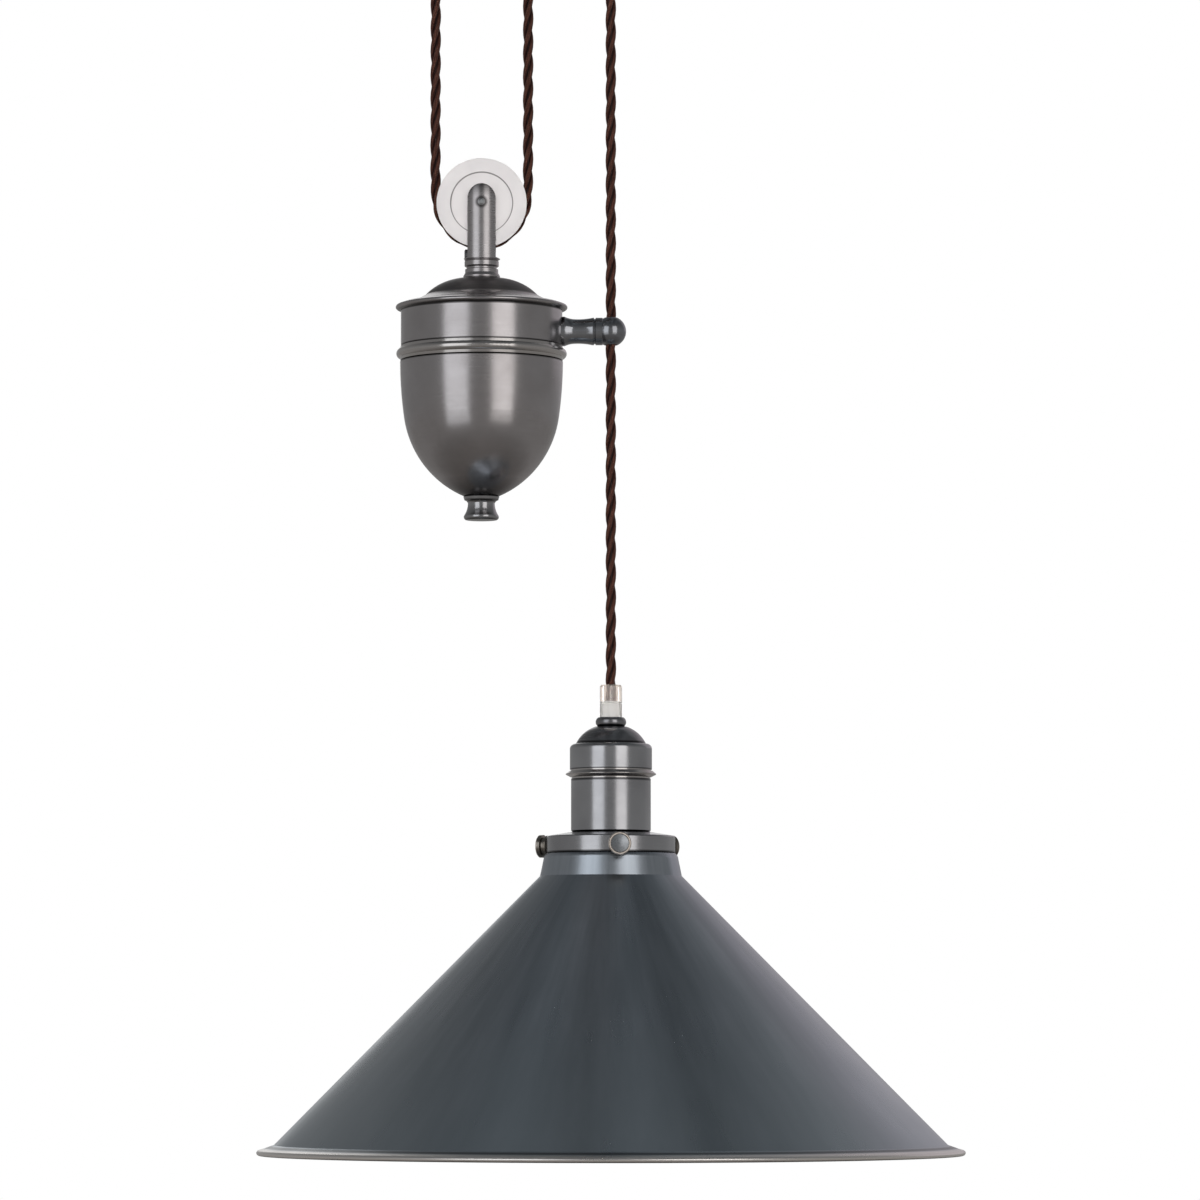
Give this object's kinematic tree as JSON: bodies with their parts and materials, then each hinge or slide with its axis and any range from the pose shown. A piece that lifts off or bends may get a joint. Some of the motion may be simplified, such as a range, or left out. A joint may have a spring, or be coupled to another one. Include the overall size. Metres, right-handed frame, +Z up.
{
  "type": "rise and fall pendant lamp",
  "caption": "Conical metal shade on a braided flex that runs over pulleys to a turned counterweight, so the lamp can be pulled down or pushed up and stays put.",
  "frame": {"origin": "on the ceiling plane, at the middle of the ceiling rose's open face", "axes": "+Z up, +X to the right seen from the front, +Y away from the front"},
  "size_m": [0.3553, 0.3554, 0.6808],
  "materials": {
    "rose_skin": "satin",
    "strap_steel": "zinc plated",
    "pewter": "antique satin",
    "dark_steel": "antique satin, darker",
    "iron": "raw",
    "brass_plain": "bright",
    "bronze": "dark bronze",
    "frosted_plastic": "frosted",
    "clear_nylon": "clear",
    "block_plastic": "moulded",
    "socket_ceramic": "glazed ceramic",
    "braid": "braided, three cores twisted",
    "shade_paint": "satin slate outside, off-white inside"
  },
  "bodies": {
    "ceiling_fitting": {"ceiling_bracket": "strap_steel", "load_plate": "strap_steel", "ceiling_rose": "rose_skin", "rose_stud_front": "strap_steel", "rose_stud_back": "strap_steel", "rose_nut_front": "pewter", "rose_nut_back": "pewter", "terminal_block": "block_plastic", "terminal_screw_left": "brass_plain", "terminal_screw_middle": "brass_plain", "terminal_screw_right": "brass_plain", "flex_tail": "braid", "ceiling_yoke": "pewter", "ceiling_yoke_stud": "strap_steel", "ceiling_yoke_nut": "strap_steel", "ceiling_axle": "strap_steel", "rose_grip": "clear_nylon", "rose_grip_screw": "clear_nylon", "rose_grip_nut": "strap_steel", "flex_fixed_leg": "braid", "flex_rising_leg": "braid", "flex_drop": "braid", "flex_ceiling_wrap": "braid"},
    "ceiling_pulley": {"ceiling_wheel": "frosted_plastic", "ceiling_bush": "brass_plain"},
    "counterweight": {"weight_yoke": "pewter", "weight_axle": "strap_steel", "weight_yoke_screw": "dark_steel", "weight_lid": "dark_steel", "weight_band": "pewter", "weight_bead": "pewter", "weight_bowl": "pewter", "ballast_upper": "iron", "ballast_lower": "iron", "weight_rod": "strap_steel", "weight_rod_nut": "strap_steel", "weight_finial": "pewter", "guide_arm": "dark_steel", "flex_weight_wrap": "braid"},
    "weight_pulley": {"weight_wheel": "frosted_plastic", "weight_bush": "brass_plain"},
    "lamp": {"lamp_grip": "clear_nylon", "lamp_grip_screw": "clear_nylon", "lamp_grip_nut": "strap_steel", "collar_nut": "dark_steel", "dome_cap": "dark_steel", "holder_cap": "pewter", "holder_ring": "pewter", "holder_shell": "pewter", "socket_core": "socket_ceramic", "screw_shell": "brass_plain", "centre_contact": "brass_plain", "gallery": "pewter", "gallery_nut": "pewter", "shade": "shade_paint"},
    "thumbscrew_front": {"thumbscrew_1": "bronze"},
    "thumbscrew_right": {"thumbscrew_2": "bronze"},
    "thumbscrew_left": {"thumbscrew_3": "bronze"}
  },
  "joints": [
    {"name": "lamp_height", "type": "slide", "parent": "ceiling_fitting", "child": "lamp", "axis": [0, 0, 1], "range_m": [-0.14, 0.11], "deforming": ["flex_drop"]},
    {"name": "weight_height", "type": "slide", "parent": "ceiling_fitting", "child": "counterweight", "axis": [0, 0, 1], "range_m": [-0.055, 0.07], "deforming": ["flex_fixed_leg", "flex_rising_leg"]},
    {"name": "weight_pulley_turn", "type": "hinge", "parent": "counterweight", "child": "weight_pulley", "pos_m": [-0.022, 0, -0.2], "axis": [0, 1, 0], "range_deg": [-172, 136]},
    {"name": "ceiling_pulley_turn", "type": "hinge", "parent": "ceiling_fitting", "child": "ceiling_pulley", "pos_m": [0.0225, 0, -0.0664], "axis": [0, 1, 0], "range_deg": [-302, 383]},
    {"name": "thumbscrew_front_out", "type": "slide", "parent": "lamp", "child": "thumbscrew_front", "axis": [0.1132, -0.9936, 0], "range_m": [0, 0.003]},
    {"name": "thumbscrew_right_out", "type": "slide", "parent": "lamp", "child": "thumbscrew_right", "axis": [0.8039, 0.5948, 0], "range_m": [0, 0.003]},
    {"name": "thumbscrew_left_out", "type": "slide", "parent": "lamp", "child": "thumbscrew_left", "axis": [-0.9171, 0.3987, 0], "range_m": [0, 0.003]}
  ],
  "couplings": [
    {"joint": "weight_height", "follows": "lamp_height", "ratio": -0.5},
    {"joint": "weight_pulley_turn", "follows": "lamp_height", "rad_per_m": 21.277},
    {"joint": "ceiling_pulley_turn", "follows": "lamp_height", "rad_per_m": -47.619}
  ]
}
